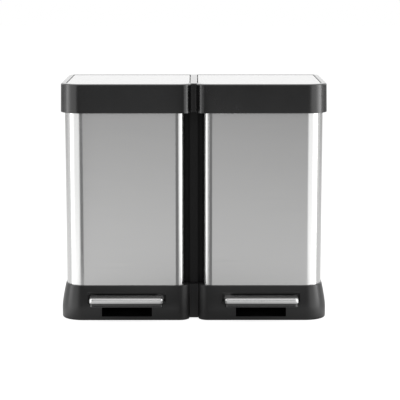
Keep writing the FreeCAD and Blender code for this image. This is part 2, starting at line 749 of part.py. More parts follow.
def build_bucket():
    """Lift-out bucket with a turned rim and a finger grip in each side."""
    low = S["deck_height"] + S["loose_fit"]
    high = LEDGE_LOW - S["bucket_below_ledge"]
    margin = S["bucket_margin"]

    def plan(inset):
        corners = bay_plan(margin + inset)
        radius = S["bucket_corner"] - inset
        return [(x, y, radius) for x, y, r in corners]

    body = new_body("bucket_moulding")
    layer(body, "wall", plan(as_size(0)), low, high)
    layer(body, "rim", plan(-S["bucket_rim"]), high - S["bucket_rim_height"], high)
    hollow(body, "inside", [plan(S["bucket_wall"])], low + S["bucket_wall"], high)
    grip_high = high - S["bucket_rim_height"] - S["grip_below_rim"]
    middle = (BAY_FRONT + BAY_REAR) / 2
    grips = box(
        "grips", (BAY_INNER, BAY_OUTER),
        (middle - S["grip_width"] / 2, middle + S["grip_width"] / 2),
        (grip_high - S["grip_height"], grip_high))
    keep_pair("bucket", cut("bucket_cut", body, grips))


def build_bag_ring():
    """Flat hoop on the collar's ledge that holds the bag's edge."""
    body = new_body("ring_hoop")
    gap = S["lid_gap"]
    outer = rectangle(
        WELL_INNER + gap, WELL_OUTER - gap, WELL_FRONT + gap, BAY_REAR + S["ledge"] - gap,
        [S["lid_corner"] - gap] * 4)
    layer(body, "hoop", outer, LEDGE_TOP, LEDGE_TOP + S["ring_thickness"])
    inner = bay_plan(S["loose_fit"])
    hollow(body, "bag_opening", [inner], LEDGE_TOP, LEDGE_TOP + S["ring_thickness"])
    keep_pair("bag_ring", body)


def build_lid():
    """Steel skin over a black frame, with its liner, cam, bumpers, hinge pin and damper."""
    skin_low = TOP - S["lid_depth"]
    skin_under = TOP - S["lid_skin"]
    frame_low = TOP - S["lid_thickness"]
    gap = S["pin_clearance"]

    skin = new_body("lid_sheet")
    layer(skin, "sheet", lid_plan(as_size(0)), skin_low, TOP)
    round_edges(skin, "sheet_edge", S["lid_edge"], lambda edge: (
        level_at(TOP)(edge) and edge.BoundBox.YMin < HINGE_Y.value - OVERRUN.value))
    inner = lid_plan(S["lid_skin"])
    open_rear = [(x, y if y is not HINGE_Y else HINGE_Y + OVERRUN, r) for x, y, r in inner]
    hollow(skin, "underside", [open_rear], skin_low, skin_under)
    pin_notch = cylinder(
        "skin_pin_notch", "x", S["hinge_pin_radius"] + gap, WELL_OUTER - WELL_INNER,
        (WELL_INNER, HINGE_Y, HINGE_Z))
    keep_pair("lid_skin", cut("skin_cut", skin, pin_notch))

    frame = new_body("lid_moulding")
    frame_top = skin_under - gap
    rim = S["lid_skin"] + gap
    layer(frame, "plate", lid_plan(rim), frame_low, frame_top)
    hollow(frame, "ribs", [lid_plan(rim + S["lid_wall"])], frame_low, frame_top - S["lid_plate"])
    barrel_start = WELL_INNER + S["lid_gap"] + rim
    barrel_end = WELL_OUTER - S["lid_gap"] - rim
    barrel_radius = S["hinge_drop"] - rim
    barrel = cylinder(
        "barrel", "x", barrel_radius, barrel_end - barrel_start, (barrel_start, HINGE_Y, HINGE_Z))
    pin_bore = cylinder(
        "pin_bore", "x", S["hinge_pin_radius"], S["hinge_pin_in_lid"],
        (barrel_start, HINGE_Y, HINGE_Z))
    damper_bore = cylinder(
        "damper_bore", "x", S["damper_radius"], S["damper_length"],
        (barrel_end - S["damper_length"], HINGE_Y, HINGE_Z))
    keep_pair("lid_frame", cut("frame_cut", fuse("frame_whole", frame, barrel), pin_bore, damper_bore))

    pin_start = WELL_INNER - S["hinge_pin_in_rim"]
    keep_pair("hinge_pin", cylinder(
        "inner_pin", "x", S["hinge_pin_radius"], barrel_start + S["hinge_pin_in_lid"] - pin_start,
        (pin_start, HINGE_Y, HINGE_Z)))
    housing = cylinder(
        "damper_housing", "x", S["damper_radius"], S["damper_length"],
        (barrel_end - S["damper_length"], HINGE_Y, HINGE_Z))
    shaft = cylinder(
        "damper_shaft", "x", S["hinge_pin_radius"],
        WELL_OUTER + S["hinge_pin_in_rim"] - barrel_end + OVERRUN,
        (barrel_end - OVERRUN, HINGE_Y, HINGE_Z))
    keep_pair("lid_damper", fuse("damper_whole", housing, shaft))

    liner = new_body("liner_plate")
    margin = rim + S["lid_wall"] + S["loose_fit"]
    cam_front = HINGE_Y - CAM_CIRCLE - S["cam_width"] / 2
    plan = [(x, y if y is not HINGE_Y else cam_front, r) for x, y, r in lid_plan(margin)]
    layer(liner, "liner", plan, frame_low, frame_low + S["liner_thickness"])
    ribs = []
    for index, share in enumerate(LINER_RIBS):
        x = BAY_INNER + (BAY_OUTER - BAY_INNER) * share
        ribs.append(box(
            f"liner_rib_{index}", (x, x + S["lid_wall"]),
            (BAY_FRONT, cam_front), (frame_low + S["liner_thickness"], frame_top - S["lid_plate"])))
    keep_pair("lid_liner", fuse("liner_whole", liner, *ribs))

    bumper_low = LEDGE_TOP + S["ring_thickness"] + S["loose_fit"]
    bumpers = []
    y = WELL_FRONT + S["lid_gap"] + S["bumper_radius"] + OVERRUN
    for index, x in enumerate((BAY_INNER + S["lid_corner"], BAY_OUTER - S["lid_corner"])):
        bumpers.append(cylinder(
            f"bumper_{index}", "z", S["bumper_radius"], frame_low - bumper_low, (x, y, bumper_low)))
    keep_pair("lid_bumpers", group("bumper_set", *bumpers))
    build_cam()


def build_cam():
    """Lug under the lid: its lower face is an involute, so that the lid turns at an even rate."""
    circle = CAM_CIRCLE.value
    reach = sheet.get("cam_reach")
    opening = math.radians(sheet.get("lid_opening"))
    width = sheet.get("cam_width")
    curve = []
    for step in range(CAM_STEPS + 1):
        turn = opening * step / CAM_STEPS
        support = reach - circle * turn
        y = -circle * math.cos(turn) + support * math.sin(turn)
        z = -circle * math.sin(turn) - support * math.cos(turn)
        curve.append(V(0, HINGE_Y.value + y, HINGE_Z.value + z))
    involute = Part.BSplineCurve()
    involute.interpolate(curve)
    barrel = S["hinge_drop"].value - S["lid_skin"].value - S["pin_clearance"].value
    plate = TOP.value - S["lid_skin"].value - S["pin_clearance"].value - S["lid_plate"].value
    top = plate - S["pin_clearance"].value
    front = HINGE_Y.value - circle - S["cam_nose"].value
    rear = HINGE_Y.value - S["cam_heel"].value
    low = HINGE_Z.value - barrel - S["pin_clearance"].value
    notch = HINGE_Y.value - barrel - S["loose_fit"].value
    border = [
        curve[-1], V(0, rear, low), V(0, notch, low), V(0, notch, top), V(0, front, top),
        V(0, front, curve[0].z + S["cam_chamfer"].value), curve[0],
    ]
    edges = [involute.toShape()]
    edges += [Part.LineSegment(a, b).toShape() for a, b in zip(border, border[1:])]
    face = Part.Face(Part.Wire(Part.__sortEdges__(edges)))
    lug = doc.addObject("Part::Feature", "cam_lug")
    lug.Shape = face.extrude(V(width, 0, 0))
    lug.Placement = FreeCAD.Placement(V(PEDAL_X.value - width / 2, 0, 0), FreeCAD.Rotation())
    keep_pair("lid_cam", lug)


# ---- pedal and lift rod -------------------------------------------------------------------------

def pedal_block(name, inset, low):
    """The pedal's rounded outer form, drawn in by an inset on top, front and ends."""
    body = new_body(name)
    half = S["pedal_width"] / 2 - inset
    front = BASE_FRONT - S["pedal_projection"] + inset
    rear = BASE_FRONT - S["pedal_gap"]
    corner = S["pedal_corner"] - inset
    plan = rectangle(PEDAL_X - half, PEDAL_X + half, front, rear, (corner, corner, 0, 0))
    top = S["pedal_top"] - inset
    layer(body, "block", plan, low, top)
    round_edges(body, "edge", S["pedal_edge"] - inset, lambda edge: (
        level_at(top)(edge) and edge.BoundBox.YMin < rear.value - OVERRUN.value))
    return body


def build_pedal():
    """Steel tread with a turned-down front lip, its core, the lever that it rides on, and rivets."""
    low = S["pedal_top"] - S["tread_lip"]
    outside = pedal_block("pedal_outside", as_size(0), low)
    inside = pedal_block("pedal_inside", S["pedal_sheet"], low)
    rear = BASE_FRONT - S["pedal_gap"]
    keep_pair("pedal_cover", cut("pedal_cover_cut", outside, inside))

    tongue_high = S["pedal_top"] - S["tongue_drop"]
    tongue_low = tongue_high - S["tongue_thickness"]
    half_tongue = S["tongue_width"] / 2
    tongue_front = BASE_FRONT - S["pedal_projection"] + S["pedal_corner"]
    core_low = S["pedal_top"] - S["pedal_lip"]
    core = pedal_block("core_block", S["pedal_sheet"] + S["pin_clearance"], core_low)
    pocket = box(
        "core_pocket", (PEDAL_X - half_tongue, PEDAL_X + half_tongue),
        (tongue_front, rear + OVERRUN), (core_low - OVERRUN, tongue_high))
    rivet_places = [(PEDAL_X - half_tongue / 2, (tongue_front + rear) / 2),
                    (PEDAL_X + half_tongue / 2, (tongue_front + rear) / 2)]
    core_top = S["pedal_top"] - S["pedal_sheet"] - S["pin_clearance"]
    bores = []
    rivets = []
    for index, (x, y) in enumerate(rivet_places):
        bores.append(cylinder(
            f"rivet_bore_{index}", "z", S["screw_radius"], core_top - tongue_low + OVERRUN * 2,
            (x, y, tongue_low - OVERRUN)))
        shank = cylinder(
            f"rivet_shank_{index}", "z", S["screw_radius"] - S["pin_clearance"],
            core_top - tongue_low, (x, y, tongue_low))
        head = cylinder(
            f"rivet_head_{index}", "z", S["rivet_head"], S["rivet_head_height"],
            (x, y, tongue_low - S["rivet_head_height"]))
        rivets.append(fuse(f"rivet_{index}", shank, head))
    keep_pair("pedal_core", cut("core_cut", core, pocket, *bores))
    keep_pair("pedal_rivets", group("rivet_set", *rivets))

    half = S["lever_width"] / 2
    arm = new_body("lever_arm")
    sketch = new_sketch(arm, "arm_profile", "YZ_Plane", PEDAL_X - half)
    boss = S["pivot_boss"]
    tip = S["lever_tip"]
    draw_polygon(sketch, [
        (CAVITY_FRONT, tongue_low), (PIVOT_Y - boss * 2, tongue_low), (PIVOT_Y - boss, PIVOT_Z - boss),
        (PIVOT_Y, PIVOT_Z - boss), (ROD_Y, TIP_Z - tip), (ROD_Y, TIP_Z + tip / 2),
        (PIVOT_Y + boss, PIVOT_Z + boss), (PIVOT_Y - boss * 2, tongue_high),
        (CAVITY_FRONT, tongue_high),
    ])
    extrude(arm, "PartDesign::Pad", sketch, "arm", S["lever_width"])
    tongue = box(
        "lever_tongue", (PEDAL_X - half_tongue, PEDAL_X + half_tongue),
        (tongue_front + S["pin_clearance"], CAVITY_FRONT + S["tongue_thickness"] * 2),
        (tongue_low, tongue_high - S["pin_clearance"]))
    ball = cylinder("lever_tip_roll", "x", tip, S["lever_width"], (PEDAL_X - half, ROD_Y, TIP_Z))
    hub = cylinder("lever_hub", "x", boss, S["lever_width"], (PEDAL_X - half, PIVOT_Y, PIVOT_Z))
    bore = cylinder(
        "lever_bore", "x", S["pin_radius"] + S["pin_clearance"], S["lever_width"] + OVERRUN * 2,
        (PEDAL_X - half - OVERRUN, PIVOT_Y, PIVOT_Z))
    lever_bores = [cylinder(
        f"lever_rivet_bore_{index}", "z", S["screw_radius"], S["tongue_thickness"] + OVERRUN * 2,
        (x, y, tongue_low - OVERRUN)) for index, (x, y) in enumerate(rivet_places)]
    whole = fuse("lever_whole", arm, tongue, ball, hub)
    keep_pair("pedal_lever", cut("lever_cut", whole, bore, *lever_bores))

    length = S["lever_width"] + S["pivot_lug"] * 2 + S["loose_fit"] * 2
    keep_pair("lever_pivot_pin", cylinder(
        "pivot_pin", "x", S["pin_radius"], length, (PEDAL_X - length / 2, PIVOT_Y, PIVOT_Z)))


def build_rod():
    """Lift rod with its foot and pad, in a square channel behind the bucket."""
    pad = S["rod_pad_height"]
    overlap = pad / 2
    rod_low = FOOT_LOW + pad - overlap
    rod_high = PAD_TOP - pad + overlap
    place = (PEDAL_X, ROD_Y)
    radius = S["pin_radius"]
    keep_pair("lift_rod", cylinder("rod", "z", radius, rod_high - rod_low, (*place, rod_low)))
    foot = cylinder("foot_disc", "z", S["rod_pad_radius"], pad, (*place, FOOT_LOW))
    foot_bore = cylinder("foot_bore", "z", radius, overlap + OVERRUN, (*place, rod_low))
    keep_pair("rod_foot", cut("foot_cut", foot, foot_bore))
    top = cylinder("pad_disc", "z", S["rod_pad_radius"], pad, (*place, PAD_TOP - pad))
    top_bore = cylinder("pad_bore", "z", radius, overlap + OVERRUN, (*place, PAD_TOP - pad - OVERRUN))
    keep_pair("rod_top_pad", cut("pad_cut", top, top_bore))

    half = S["channel_side"] / 2
    inner = half - S["channel_wall"]
    body = new_body("channel_tube")
    high = PAD_TOP - S["channel_below_pad"]
    for kind, reach in (("outside", half), ("bore", inner)):
        plan = rectangle(PEDAL_X - reach, PEDAL_X + reach, ROD_Y - reach, ROD_Y + reach, [0] * 4)
        if kind == "outside":
            layer(body, kind, plan, S["deck_height"], high)
        else:
            hollow(body, kind, [plan], S["deck_height"], high)
    keep_pair("rod_channel", body)

    guides = []
    foot_high = FOOT_LOW + pad + S["lift_travel"] + S["loose_fit"]
    for name, low in (("lower", foot_high + S["guide_gap"]), ("upper", high - S["guide_height"])):
        block = box(
            f"{name}_guide", (PEDAL_X - inner, PEDAL_X + inner), (ROD_Y - inner, ROD_Y + inner),
            (low, low + S["guide_height"]))
        hole = cylinder(
            f"{name}_guide_bore", "z", radius + S["pin_clearance"], S["guide_height"] + OVERRUN * 2,
            (*place, low - OVERRUN))
        guides.append(cut(f"{name}_guide_cut", block, hole))
    keep_pair("rod_guides", group("guide_set", *guides))


# ---- build, check and write ---------------------------------------------------------------------

def check_model():
    """Stop if anything in the document failed, or if a piece is empty or not valid."""
    doc.recompute()
    faults = []
    for thing in doc.Objects:
        if "Invalid" in thing.State or "Error" in thing.State:
            faults.append(f"{thing.Name} ({thing.Label}) is in state {thing.State}")
    for thing in NODES:
        shape = thing.Shape
        if shape.isNull() or not shape.isValid() or shape.Volume <= 0:
            faults.append(f"{thing.Label} has no valid shape")
    if faults:
        raise RuntimeError("; ".join(faults))


def write_pieces():
    """Write each piece to a file of its own name."""
    os.makedirs("parts", exist_ok=True)
    for thing in NODES:
        thing.Shape.exportStep(f"parts/{thing.Label}.step")
        print(f"{thing.Label}: {len(thing.Shape.Solids)} solid(s), {thing.Shape.Volume / 1000:.1f} cm3")


build_base()
build_bottom_cover()
build_collar()
build_columns()
build_shell()
build_bucket()
build_bag_ring()
build_lid()
build_pedal()
build_rod()
check_model()
write_pieces()
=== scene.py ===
"""Looks of the double recycling bin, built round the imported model. Lengths are in metres."""
import math

import bmesh
import bpy
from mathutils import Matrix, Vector


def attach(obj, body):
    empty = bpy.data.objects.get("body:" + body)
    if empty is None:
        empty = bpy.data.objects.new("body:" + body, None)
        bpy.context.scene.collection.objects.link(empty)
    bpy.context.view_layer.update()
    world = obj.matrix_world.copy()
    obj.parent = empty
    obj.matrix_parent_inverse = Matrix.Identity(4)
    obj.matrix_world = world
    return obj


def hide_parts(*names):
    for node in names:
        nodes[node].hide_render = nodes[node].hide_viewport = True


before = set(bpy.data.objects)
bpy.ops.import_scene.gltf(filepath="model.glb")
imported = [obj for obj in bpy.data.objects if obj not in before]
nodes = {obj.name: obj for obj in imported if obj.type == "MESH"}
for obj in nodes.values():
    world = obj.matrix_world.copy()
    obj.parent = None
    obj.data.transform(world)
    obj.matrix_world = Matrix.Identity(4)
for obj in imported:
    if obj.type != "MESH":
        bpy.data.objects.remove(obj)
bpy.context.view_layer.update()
MM = 0.001
SIDES = (("right", 1), ("left", -1))
SHARP = math.radians(32)

# ---- sizes of the frame that the pieces here repeat, in millimetres -----------------------------
# A box is x0, x1, y0, y1 of the right-hand side; radii are front inner, front outer, rear outer and
# rear inner.

HALF, FRONT, REAR = 295.0, -124.0, 162.0
CORNER, REAR_CORNER, MOUTH, FOOT = 47.0, 20.0, 22.0, 2.5
VALLEY, COLLAR_VALLEY, VALLEY_FLOOR = 10.5, 6.5, -99.0
TOP, COLLAR_LOW, LEDGE_TOP, LEDGE_LOW = 530.0, 466.0, 510.0, 507.0
COLLAR_WALL, COLLAR_ROUND = 2.5, 3.0
LEAN_TOP, LEAN = 0.5, 1.1
WELL, WELL_CORNER, WELL_REAR_CORNER = (7.75, 283.0, -112.0, 150.0), 35.0, 3.0
BAY, BAY_CORNER = (22.7, 275.0, -104.0, 100.0), 28.0
CAM_SLOT = (141.5, 158.5, 107.8, 143.8)
SHELL, SHELL_RADII = (19.7, 286.7, -115.7, 153.7), (22.0, 42.5, 11.7, 0.0)
SHELL_LOW, SHELL_HIGH, SHEET, SHELL_RETURN = 66.3, 506.7, 0.8, 38.0
SHELL_GROOVE = (1.0, 3.0)
SOFT_EDGE = 0.8

LID_GAP, LID_LOW, LID_ROUND, LID_SHEET, HINGE_Y = 1.5, 522.0, 1.6, 0.8, 141.3

PEDAL_X, PEDAL_HALF, PEDAL_FRONT, PEDAL_REAR, PEDAL_CORNER = 150.0, 82.0, -164.5, -129.5, 9.0
PEDAL_TOP, PEDAL_ROUND = 59.0, 5.0
TREAD_LIP = [(1.0, 47.6), (0.5, 47.8), (0.2, 48.6), (0.0, 50.5), (0.0, 52.0)]
TREAD_INSIDE = [(1.2, 47.6), (1.2, 57.8)]
PEDAL_BODY = [(3.4, 39.0), (2.2, 39.1), (1.6, 39.6), (1.4, 40.5),
              (1.5, 41.6), (1.9, 42.6), (1.9, 47.6), (1.9, 56.0)]
POCKET, POCKET_LOW, POCKET_TOP = (100.0, 200.0, -155.5, -131.0), 39.0, 54.0

FLARE = [(1.5, 1.0), (4.0, 0.0), (24.0, 0.0), (40.0, 1.4), (60.0, 4.7), (79.0, 8.7)]
BASE_TOP, PROUD, WALL, DECK_TOP, DECK_LOW = 79.0, 2.5, 8.0, 66.0, 63.0
BASE_HEIGHTS = [1.5, 1.9, 2.6, 4.0, 6.0, 8.0, 10.0, 13.0, 16.0, 20.0, 24.0, 28.0, 32.0, 36.0,
                39.0, 43.0, 47.0, 51.0, 54.0, 57.5, 61.0, 65.0, 68.0, 71.0, 74.0, 76.5, 78.2]
CAVITY_CORNER, CAVITY_REAR_CORNER = 41.5, 14.5
SEAT_ROOM, ROD_Y, ROD_HOLE = 0.2, 124.11, 6.5
RECESS = (62.5, 237.5, 39.0, 65.0, -121.5)  # x0, x1, low, top, rear face
SLOT = (94.0, 206.0, 10.0, 57.5, -118.5)
STATIONS = (62.5, 94.0, 206.0, 237.5)
FRONT_LIMIT, LONG_RUN = -110.0, 100.0


# ---- plan outlines ------------------------------------------------------------------------------

def plan(corners, step=4.5):
    """Points of an outline with square corners, each rounded to its radius by fine short steps."""
    count = len(corners)
    spots = [Vector((x, y)) for x, y, r in corners]
    points = []
    for i, (x, y, radius) in enumerate(corners):
        way_in = (spots[i] - spots[i - 1]).normalized()
        way_out = (spots[(i + 1) % count] - spots[i]).normalized()
        if radius <= 0:
            points.append(spots[i].copy())
            continue
        centre = spots[i] - way_in * radius + way_out * radius
        steps = max(2, round(90 / step))
        for k in range(steps + 1):
            turn = math.radians(90 * k / steps)
            points.append(centre - way_out * radius * math.cos(turn)
                          + way_in * radius * math.sin(turn))
    return points


def lobes(inset, valley_half, valley_inset=0.0):
    """The two-lobed plan, drawn in by an inset at the sides and by another in the valley."""
    half, front, rear = HALF - inset, FRONT + inset, REAR - inset
    valley, floor = valley_half + valley_inset, VALLEY_FLOOR + valley_inset
    corner, rear_corner, mouth = CORNER - inset, REAR_CORNER - inset, MOUTH - valley_inset
    return [
        (-half, front, corner), (-valley, front, mouth), (-valley, floor, FOOT),
        (valley, floor, FOOT), (valley, front, mouth), (half, front, corner),
        (half, rear, rear_corner), (-half, rear, rear_corner)]


def rectangle(box, inset=0.0, radii=(0.0,) * 4):
    """A box drawn in by an inset, with its corners' radii."""
    x0, x1, y0, y1 = box
    r = [max(v - inset, 0.0) for v in radii]
    return [(x0 + inset, y0 + inset, r[0]), (x1 - inset, y0 + inset, r[1]),
            (x1 - inset, y1 - inset, r[2]), (x0 + inset, y1 - inset, r[3])]


def circle(x, y, radius, count=32):
    """Points of a circle."""
    return [Vector((x + radius * math.cos(2 * math.pi * k / count),
                    y + radius * math.sin(2 * math.pi * k / count))) for k in range(count)]


def handed(points, sign):
    """Points on the right or the left."""
    return [Vector((p[0] * sign, p[1])) for p in points]


def quarter(inset, height, radius, steps):
    """Levels (inset, height) of a quarter round from a wall to the flat face on top of it."""
    turns = [math.radians(90 * k / steps) for k in range(steps + 1)]
    return [(inset + radius * (1 - math.cos(a)), height - radius * (1 - math.sin(a)))
            for a in turns]


# ---- mesh building ------------------------------------------------------------------------------

def ring(mesh, points, height):
    """A closed loop of vertices at one height, in metres."""
    return [mesh.verts.new((p[0] * MM, p[1] * MM, height * MM)) for p in points]


def wall(mesh, lower, upper, skip=None):
    """Quads between two loops of equal length."""
    count = len(lower)
    for i in range(count):
        j = (i + 1) % count
        if skip and skip(lower[i], lower[j], upper[j], upper[i]):
            continue
        mesh.faces.new((lower[i], lower[j], upper[j], upper[i]))


def stack(mesh, levels, skip=None):
    """Walls through a list of (points, height); returns the first and last loop."""
    loops = [ring(mesh, points, height) for points, height in levels]
    for lower, upper in zip(loops, loops[1:]):
        wall(mesh, lower, upper, skip)
    return loops[0], loops[-1]


def cap(mesh, loops, up):
    """Fill the flat space between loops."""
    edges = []
    for loop in loops:
        for i, vert in enumerate(loop):
            other = loop[(i + 1) % len(loop)]
            edges.append(mesh.edges.get((vert, other)) or mesh.edges.new((vert, other)))
    made = bmesh.ops.triangle_fill(mesh, use_beauty=True, use_dissolve=False, edges=edges)
    for face in made["geom"]:
        if isinstance(face, bmesh.types.BMFace) and (face.normal.z > 0) != up:
            face.normal_flip()


def hood(outer, inner):
    """A mesh closed on top and open below, from the levels of its outside and its inside."""
    mesh = bmesh.new()
    low, high = stack(mesh, outer)
    cap(mesh, [high], True)
    in_low, in_high = stack(mesh, inner)
    cap(mesh, [in_high], False)
    cap(mesh, [low, in_low], False)
    return mesh


def smooth(data):
    """Smooth faces, with sharp edges where the mesh turns hard."""
    data.polygons.foreach_set("use_smooth", [True] * len(data.polygons))
    data.set_sharp_from_angle(angle=SHARP)


def finish_mesh(mesh, name):
    """A thing from a finished bmesh."""
    bmesh.ops.remove_doubles(mesh, verts=mesh.verts, dist=1e-6)
    bmesh.ops.recalc_face_normals(mesh, faces=mesh.faces)
    data = bpy.data.meshes.new(name)
    mesh.to_mesh(data)
    mesh.free()
    smooth(data)
    thing = bpy.data.objects.new(name, data)
    bpy.context.scene.collection.objects.link(thing)
    weighted = thing.modifiers.new("normals", "WEIGHTED_NORMAL")
    weighted.keep_sharp = True
    weighted.weight = 60
    return thing


# ---- shader nodes -------------------------------------------------------------------------------

def axes(tree, kind="Object"):
    """The X, Y and Z of a kind of texture coordinates."""
    where = tree.nodes.new("ShaderNodeTexCoord")
    apart = tree.nodes.new("ShaderNodeSeparateXYZ")
    tree.links.new(where.outputs[kind], apart.inputs["Vector"])
    return apart.outputs


def maths(tree, kind, first, other=None):
    """A calculation on sockets or floats."""
    node = tree.nodes.new("ShaderNodeMath")
    node.operation = kind
    for socket, value in zip(node.inputs, (first, other)):
        if isinstance(value, float):
            socket.default_value = value
        elif value is not None:
            tree.links.new(value, socket)
    return node.outputs["Value"]


def spread(tree, value, low, high, start=0.3, end=0.7, eased=False):
    """A value between start and end, mapped to low and high."""
    node = tree.nodes.new("ShaderNodeMapRange")
    if eased:
        node.interpolation_type = "SMOOTHSTEP"
    node.inputs["From Min"].default_value = start
    node.inputs["From Max"].default_value = end
    node.inputs["To Min"].default_value = low
    node.inputs["To Max"].default_value = high
    tree.links.new(value, node.inputs["Value"])
    return node.outputs["Result"]


def chosen(tree, share, first, other):
    """One value, giving way to a number by a share."""
    node = tree.nodes.new("ShaderNodeMix")
    tree.links.new(share, node.inputs[0])
    tree.links.new(first, node.inputs[2])
    node.inputs[3].default_value = other
    return node.outputs[0]


def shade(tree, value, dark, light):
    """A colour between two, by a value."""
    node = tree.nodes.new("ShaderNodeMix")
    node.data_type = "RGBA"
    node.inputs["A"].default_value = (*dark, 1)
    node.inputs["B"].default_value = (*light, 1)
    tree.links.new(value, node.inputs["Factor"])
    return node.outputs["Result"]


def streaks(tree, scale, detail, rough):
    """Noise in object coordinates, stretched by a scale for each axis."""
    where = tree.nodes.new("ShaderNodeTexCoord")
    shape = tree.nodes.new("ShaderNodeMapping")
    shape.inputs["Scale"].default_value = scale
    noise = tree.nodes.new("ShaderNodeTexNoise")
    noise.inputs["Scale"].default_value = 1.0
    noise.inputs["Detail"].default_value = detail
    noise.inputs["Roughness"].default_value = rough
    tree.links.new(where.outputs["Object"], shape.inputs["Vector"])
    tree.links.new(shape.outputs["Vector"], noise.inputs["Vector"])
    return noise.outputs["Fac"]


def bump(tree, shader, value, strength, distance):
    """Surface relief from a value."""
    node = tree.nodes.new("ShaderNodeBump")
    node.inputs["Strength"].default_value = strength
    node.inputs["Distance"].default_value = distance
    tree.links.new(value, node.inputs["Height"])
    tree.links.new(node.outputs["Normal"], shader.inputs["Normal"])


# ---- materials ----------------------------------------------------------------------------------

VALLEY_MATT, EDGE_POLISH = 0.62, 0.1
VALLEY_BAND = (0.008, 0.012, 0.018, 0.034)
POLISHED_FROM, POLISH_FADE = 0.5288, 0.0004


def new_material(name):
    """A node material with its Principled shader."""
    made = bpy.data.materials.new(name)
    made.use_nodes = True
    return made, made.node_tree, made.node_tree.nodes["Principled BSDF"]


def brushed(name, turn_axis, colour=0.60, rough=0.25):
    """Brushed stainless steel, its grain long along X and fine across it."""
    made, tree, shader = new_material(name)
    fine = streaks(tree, (9.0, 2600.0, 2600.0), 4.0, 0.7)
    broad = streaks(tree, (1.2, 60.0, 60.0), 2.0, 0.5)
    tint = shade(tree, spread(tree, fine, 0, 1), (colour * 0.95,) * 3,
                 (colour * 1.05, colour * 1.05, colour * 1.04))
    tree.links.new(tint, shader.inputs["Base Color"])
    tree.links.new(spread(tree, broad, rough - 0.006, rough + 0.006), shader.inputs["Roughness"])
    shader.inputs["Metallic"].default_value = 1.0
    shader.inputs["Anisotropic"].default_value = 0.85
    shader.inputs["Anisotropic Rotation"].default_value = 0.25
    tangent = tree.nodes.new("ShaderNodeTangent")
    tangent.direction_type = "RADIAL"
    tangent.axis = turn_axis
    tree.links.new(tangent.outputs["Tangent"], shader.inputs["Tangent"])
    bump(tree, shader, fine, 0.06, 0.00004)
    return made


def moulded(name, colour, rough, grain=0.15, specular=0.5, valley=None, polished=0.0):
    """Moulded plastic or rubber; it can be matt beside the valley and smoother above a height."""
    made, tree, shader = new_material(name)
    grains = streaks(tree, (1600.0,) * 3, 2.0, 0.6)
    clouds = streaks(tree, (14.0,) * 3, 3.0, 0.5)
    tint = shade(tree, spread(tree, clouds, 0, 1), tuple(c * 0.93 for c in colour),
                 tuple(c * 1.07 for c in colour))
    tree.links.new(tint, shader.inputs["Base Color"])
    roughness = spread(tree, clouds, rough - 0.02, rough + 0.03)
    place_of = axes(tree)
    if valley:
        side = maths(tree, "ABSOLUTE", place_of["X"])
        near = spread(tree, side, 0, 1, valley[0], valley[1])
        far = spread(tree, side, 1, 0, valley[2], valley[3])
        ahead = spread(tree, place_of["Y"], 1, 0, -0.01, 0.01)
        share = maths(tree, "MULTIPLY", maths(tree, "MULTIPLY", near, far), ahead)
        roughness = chosen(tree, share, roughness, VALLEY_MATT)
    if polished:
        share = spread(tree, place_of["Z"], 0, 1, polished - POLISH_FADE, polished)
        roughness = chosen(tree, share, roughness, EDGE_POLISH)
    tree.links.new(roughness, shader.inputs["Roughness"])
    shader.inputs["Specular IOR Level"].default_value = specular
    bump(tree, shader, grains, grain, 0.00006)
    return made


SHELL_STEEL = brushed("shell_steel", "Z")
LID_STEEL = brushed("lid_steel", "Y", 0.64, 0.16)
PEDAL_STEEL = brushed("pedal_steel", "Y", 0.62, 0.2)
ZINC = brushed("zinc_steel", "X", 0.55, 0.35)
DEEP_BLACK = (0.003, 0.003, 0.0032)
BLACK = moulded("black_plastic", DEEP_BLACK, 0.25, specular=0.8, polished=POLISHED_FROM)
BASE_BLACK = moulded("base_plastic", DEEP_BLACK, 0.31, specular=0.6, valley=VALLEY_BAND)
COLUMN_BLACK = moulded("column_plastic", (0.004, 0.004, 0.0042), 0.6, specular=0.3)
INNER = moulded("inner_plastic", (0.030, 0.030, 0.031), 0.5, 0.3)
BUCKET = moulded("bucket_plastic", (0.045, 0.046, 0.048), 0.45, 0.3)
GUIDE = moulded("guide_plastic", (0.55, 0.54, 0.50), 0.4)
RUBBER = moulded("rubber", (0.02, 0.02, 0.02), 0.7, 0.4)

PLAIN = {
    "base": BASE_BLACK, "bottom_cover": INNER, "rubber_feet": RUBBER, "base_screws": ZINC,
    "front_column": COLUMN_BLACK, "rear_column": COLUMN_BLACK, "divider_panel": INNER,
    "top_collar": BLACK, "steel_shell": SHELL_STEEL, "bucket": BUCKET, "bag_ring": INNER,
    "rod_channel": INNER, "rod_guides": GUIDE, "lever_pivot_pin": ZINC, "lid_frame": BLACK,
    "lid_skin": LID_STEEL, "lid_liner": INNER, "lid_cam": GUIDE, "lid_bumpers": RUBBER,
    "hinge_pin": ZINC, "lid_damper": GUIDE, "pedal_cover": PEDAL_STEEL, "pedal_core": BLACK,
    "pedal_lever": ZINC, "pedal_rivets": ZINC, "lift_rod": ZINC, "rod_top_pad": GUIDE,
    "rod_foot": GUIDE,
}


def dress(thing, made):
    """Give a thing one material."""
    thing.data.materials.clear()
    thing.data.materials.append(made)


for label, node in nodes.items():
    dress(node, PLAIN[label.replace("right_", "").replace("left_", "")])
    smooth(node.data)


# ---- pieces -------------------------------------------------------------------------------------

def place(thing, body, node, made):
    """Put a piece in place of a node, on its body and material."""
    dress(thing, made)
    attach(thing, body)
    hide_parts(node)


